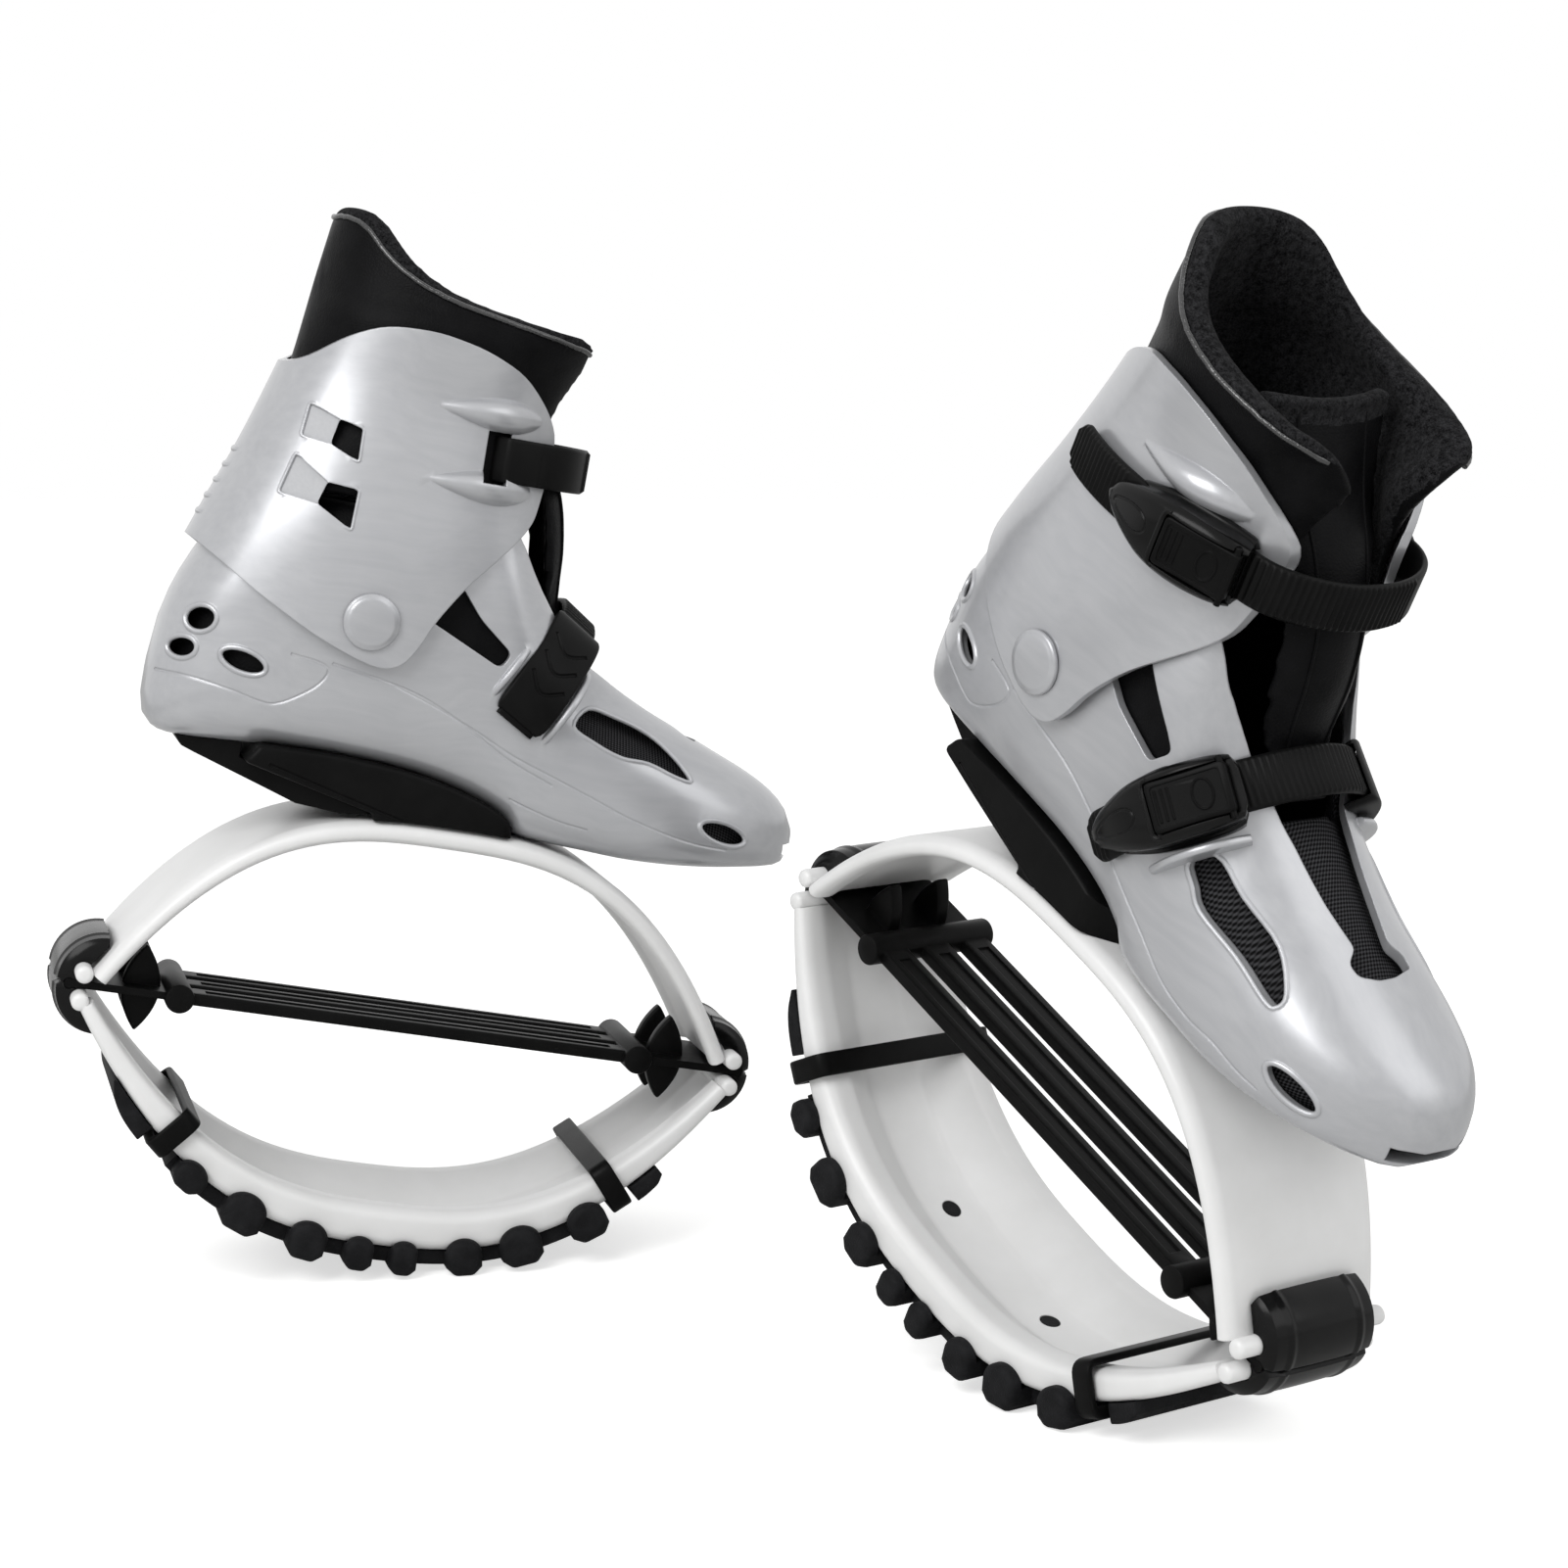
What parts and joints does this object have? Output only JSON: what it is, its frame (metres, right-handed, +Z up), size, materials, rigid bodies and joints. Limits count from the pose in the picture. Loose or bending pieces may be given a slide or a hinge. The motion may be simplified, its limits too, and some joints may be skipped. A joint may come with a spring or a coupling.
{
  "type": "jumping shoes",
  "caption": "Pair of jumping shoes: silver hard boots with black padded liners and ratchet straps on white oval springs with a black band and lugged rubber treads.",
  "frame": {"origin": "on the floor, under the centre of the pair's bounding box", "axes": "+Z up; +X from the left shoe towards the right shoe's toe side, along the pair's longest extent; -Y towards the viewer of the picture"},
  "size_m": [0.5944, 0.4414, 0.4824],
  "materials": {
    "white_nylon": "smooth white nylon",
    "silver_plastic": "silver, satin",
    "black_plastic": "black, fine grain",
    "dark_rubber": "dark, pitted",
    "strap_plastic": "black, ribbed",
    "liner_leather": "black, fine grain, napped rim",
    "bolt_steel": "satin"
  },
  "bodies": {
    "base": {"right_lower_arch": "white_nylon", "right_tread": "dark_rubber", "right_heel_pad": "dark_rubber", "right_toe_pad": "dark_rubber", "right_heel_clamp": "black_plastic", "right_toe_clamp": "black_plastic", "left_lower_arch": "white_nylon", "left_tread": "dark_rubber", "left_heel_pad": "dark_rubber", "left_toe_pad": "dark_rubber", "left_heel_clamp": "black_plastic", "left_toe_clamp": "black_plastic"},
    "right_band": {"right_tension_band": "black_plastic", "right_heel_cap": "black_plastic", "right_toe_cap": "black_plastic"},
    "right_boot": {"right_upper_arch": "white_nylon", "right_saddle_block": "black_plastic", "right_heel_wedge": "black_plastic", "right_arch_bolt": "bolt_steel", "right_boot_shell": "silver_plastic", "right_footbed": "liner_leather", "right_lateral_pivot_cap": "silver_plastic", "right_medial_pivot_cap": "silver_plastic", "right_liner_foot": "liner_leather", "right_tongue": "liner_leather", "right_lower_strap": "strap_plastic", "right_lower_strap_plate": "strap_plastic", "right_lower_buckle": "black_plastic"},
    "right_cuff": {"right_cuff": "silver_plastic", "right_liner_shaft": "liner_leather", "right_upper_strap": "strap_plastic", "right_upper_buckle": "black_plastic"},
    "right_upper_lever": {"right_upper_lever": "black_plastic"},
    "right_lower_lever": {"right_lower_lever": "black_plastic"},
    "left_band": {"left_tension_band": "black_plastic", "left_heel_cap": "black_plastic", "left_toe_cap": "black_plastic"},
    "left_boot": {"left_upper_arch": "white_nylon", "left_saddle_block": "black_plastic", "left_heel_wedge": "black_plastic", "left_arch_bolt": "bolt_steel", "left_boot_shell": "silver_plastic", "left_footbed": "liner_leather", "left_lateral_pivot_cap": "silver_plastic", "left_medial_pivot_cap": "silver_plastic", "left_liner_foot": "liner_leather", "left_tongue": "liner_leather", "left_lower_strap": "strap_plastic", "left_lower_strap_plate": "strap_plastic", "left_lower_buckle": "black_plastic"},
    "left_cuff": {"left_cuff": "silver_plastic", "left_liner_shaft": "liner_leather", "left_upper_strap": "strap_plastic", "left_upper_buckle": "black_plastic"},
    "left_upper_lever": {"left_upper_lever": "black_plastic"},
    "left_lower_lever": {"left_lower_lever": "black_plastic"}
  },
  "joints": [
    {"name": "right_bounce", "type": "slide", "parent": "base", "child": "right_boot", "axis": [-0.2934, 0.3804, -0.877], "range_m": [0, 0.04], "stiffness_N_per_m": 23000, "springref_m": -0.001, "deforming": ["right_upper_arch", "right_lower_arch"]},
    {"name": "right_band_follow", "type": "slide", "parent": "base", "child": "right_band", "axis": [-0.2934, 0.3804, -0.877], "range_m": [0, 0.02]},
    {"name": "right_cuff_pivot", "type": "hinge", "parent": "right_boot", "child": "right_cuff", "pos_m": [0.18265, -0.08526, 0.30444], "axis": [0.7918, 0.6107, 0], "range_deg": [-3, 6], "deforming": ["right_liner_foot", "right_tongue"]},
    {"name": "right_upper_lever_hinge", "type": "hinge", "parent": "right_cuff", "child": "right_upper_lever", "pos_m": [0.20098, -0.19277, 0.34289], "axis": [0.2934, -0.3804, 0.877], "range_deg": [0, 55]},
    {"name": "right_lower_lever_hinge", "type": "hinge", "parent": "right_boot", "child": "right_lower_lever", "pos_m": [0.20275, -0.18185, 0.26496], "axis": [-0.2386, 0.3221, 0.9161], "range_deg": [0, 55]},
    {"name": "left_bounce", "type": "slide", "parent": "base", "child": "left_boot", "axis": [-0.1786, -0.0462, -0.9828], "range_m": [0, 0.04], "stiffness_N_per_m": 23000, "springref_m": -0.001, "deforming": ["left_upper_arch", "left_lower_arch"]},
    {"name": "left_band_follow", "type": "slide", "parent": "base", "child": "left_band", "axis": [-0.1786, -0.0462, -0.9828], "range_m": [0, 0.02]},
    {"name": "left_cuff_pivot", "type": "hinge", "parent": "left_boot", "child": "left_cuff", "pos_m": [-0.1548, 0.13939, 0.30058], "axis": [-0.2506, 0.9681, 0], "range_deg": [-3, 6], "deforming": ["left_liner_foot", "left_tongue"]},
    {"name": "left_upper_lever_hinge", "type": "hinge", "parent": "left_cuff", "child": "left_upper_lever", "pos_m": [-0.09052, 0.20884, 0.36702], "axis": [-0.1786, -0.0462, -0.9828], "range_deg": [0, 55]},
    {"name": "left_lower_lever_hinge", "type": "hinge", "parent": "left_boot", "child": "left_lower_lever", "pos_m": [-0.07205, 0.2053, 0.2906], "axis": [0.6422, 0.1742, -0.7465], "range_deg": [0, 55]}
  ],
  "couplings": [
    {"joint": "right_band_follow", "follows": "right_bounce", "ratio": 0.5},
    {"joint": "left_band_follow", "follows": "left_bounce", "ratio": 0.5}
  ]
}
